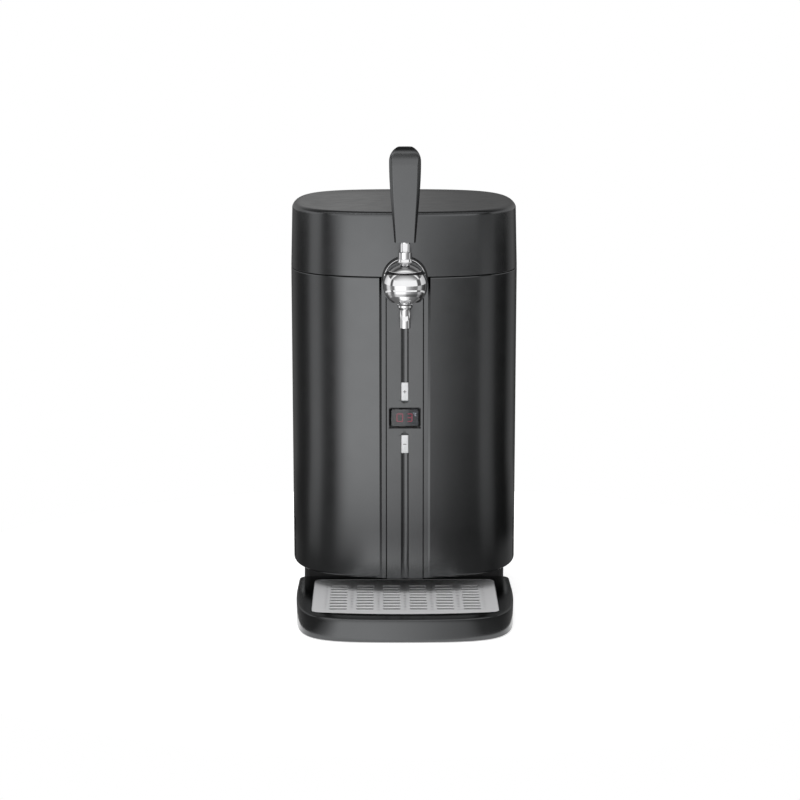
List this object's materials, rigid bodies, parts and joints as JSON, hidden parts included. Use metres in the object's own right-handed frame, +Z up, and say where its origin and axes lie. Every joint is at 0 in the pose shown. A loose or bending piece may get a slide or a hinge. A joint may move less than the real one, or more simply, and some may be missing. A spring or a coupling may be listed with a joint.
{
  "type": "keg beer dispenser",
  "caption": "Countertop cooled keg dispenser: hinged lid over a keg chamber, ball tap with a tilting lever, panel with a display and buttons, slide-out drip tray.",
  "frame": {"origin": "middle of the bounding box at its bottom, on the surface it stands on", "axes": "+Z up, -Y to the front where the tap and the drip tray are, +X to the right of someone who stands in front and faces the tap"},
  "size_m": [0.259, 0.4284, 0.5309],
  "materials": {
    "case_coat": "satin, very dark grey",
    "black_plastic": "matt black, fine grain",
    "black_rubber": "matt",
    "steel_screw": "zinc plated",
    "gloss_black": "glossy black",
    "smoked_lens": "smoked clear",
    "silver_button": "silver white",
    "green_board": "solder mask",
    "display_black": "black face",
    "chamber_aluminium": "plain",
    "foam": "rigid foam",
    "grey_plastic": "dark grey",
    "ceramic_white": "ceramic",
    "tap_chrome": "polished",
    "tap_steel": "turned",
    "handle_black": "satin black",
    "hose_clear": "milky clear",
    "tray_black": "glossy black",
    "grille_steel": "brushed lengthwise"
  },
  "bodies": {
    "case": {"base_housing": "black_plastic", "rubber_feet": "black_rubber", "base_screws": "steel_screw", "body_shell": "case_coat", "control_panel": "case_coat", "display_bezel": "gloss_black", "display_lens": "smoked_lens", "control_board": "green_board", "led_module": "display_black", "keg_chamber": "chamber_aluminium", "keg_mat": "black_rubber", "chamber_insulation": "foam", "chamber_cradle": "black_plastic", "top_deck": "grey_plastic", "lid_gasket": "black_rubber", "cold_block": "chamber_aluminium", "peltier_module": "ceramic_white", "heat_sink": "chamber_aluminium", "sink_screws": "steel_screw", "temperature_probe": "steel_screw", "fan_frame": "black_plastic", "fan_screws": "steel_screw", "rear_cover": "black_plastic", "rear_screws": "steel_screw", "power_board": "green_board", "power_inlet": "black_plastic", "switch_frame": "black_plastic", "tap_rosette": "tap_chrome", "tap_body": "tap_chrome", "tap_shank": "tap_steel", "shank_nut": "tap_steel", "shank_elbow": "tap_steel", "spout_nozzle": "tap_chrome", "lever_pin": "tap_steel", "beer_hose": "hose_clear", "keg_coupler": "black_plastic", "hinge_pins": "steel_screw"},
    "lid": {"lid_shell": "case_coat", "lid_liner": "grey_plastic", "lid_insulation": "foam"},
    "lever": {"tap_hood": "tap_chrome", "lever_stem": "tap_chrome", "lever_handle": "handle_black"},
    "plunger": {"valve_plunger": "tap_steel"},
    "plus_key": {"plus_button": "silver_button"},
    "minus_key": {"minus_button": "silver_button"},
    "tray": {"drip_tray": "tray_black"},
    "grille": {"drip_grille": "grille_steel"},
    "fan": {"fan_rotor": "black_plastic"},
    "rocker": {"power_rocker": "gloss_black"}
  },
  "joints": [
    {"name": "lid_hinge", "type": "hinge", "parent": "case", "child": "lid", "pos_m": [0, 0.20925, 0.3846], "axis": [-1, 0, 0], "range_deg": [0, 95]},
    {"name": "tap_lever", "type": "hinge", "parent": "case", "child": "lever", "pos_m": [0, -0.12325, 0.3794], "axis": [1, 0, 0], "range_deg": [0, 32]},
    {"name": "valve_slide", "type": "slide", "parent": "case", "child": "plunger", "axis": [0, 1, 0], "range_m": [0, 0.0056]},
    {"name": "plus_press", "type": "slide", "parent": "case", "child": "plus_key", "axis": [0, 1, 0], "range_m": [0, 0.001], "stiffness_N_per_m": 600, "springref_m": -0.0015},
    {"name": "minus_press", "type": "slide", "parent": "case", "child": "minus_key", "axis": [0, 1, 0], "range_m": [0, 0.001], "stiffness_N_per_m": 600, "springref_m": -0.0015},
    {"name": "tray_slide", "type": "slide", "parent": "case", "child": "tray", "axis": [0, -1, 0], "range_m": [0, 0.19]},
    {"name": "grille_lift", "type": "slide", "parent": "tray", "child": "grille", "axis": [0, 0, 1], "range_m": [0, 0.014]},
    {"name": "fan_spin", "type": "hinge", "parent": "case", "child": "fan", "pos_m": [0, 0.18475, 0.24], "axis": [0, 1, 0], "continuous": true},
    {"name": "rocker_tilt", "type": "hinge", "parent": "case", "child": "rocker", "pos_m": [0.019, 0.2027, 0.09], "axis": [1, 0, 0], "range_deg": [0, 16]}
  ],
  "couplings": [
    {"joint": "valve_slide", "follows": "tap_lever", "m_per_rad": 0.0096}
  ]
}
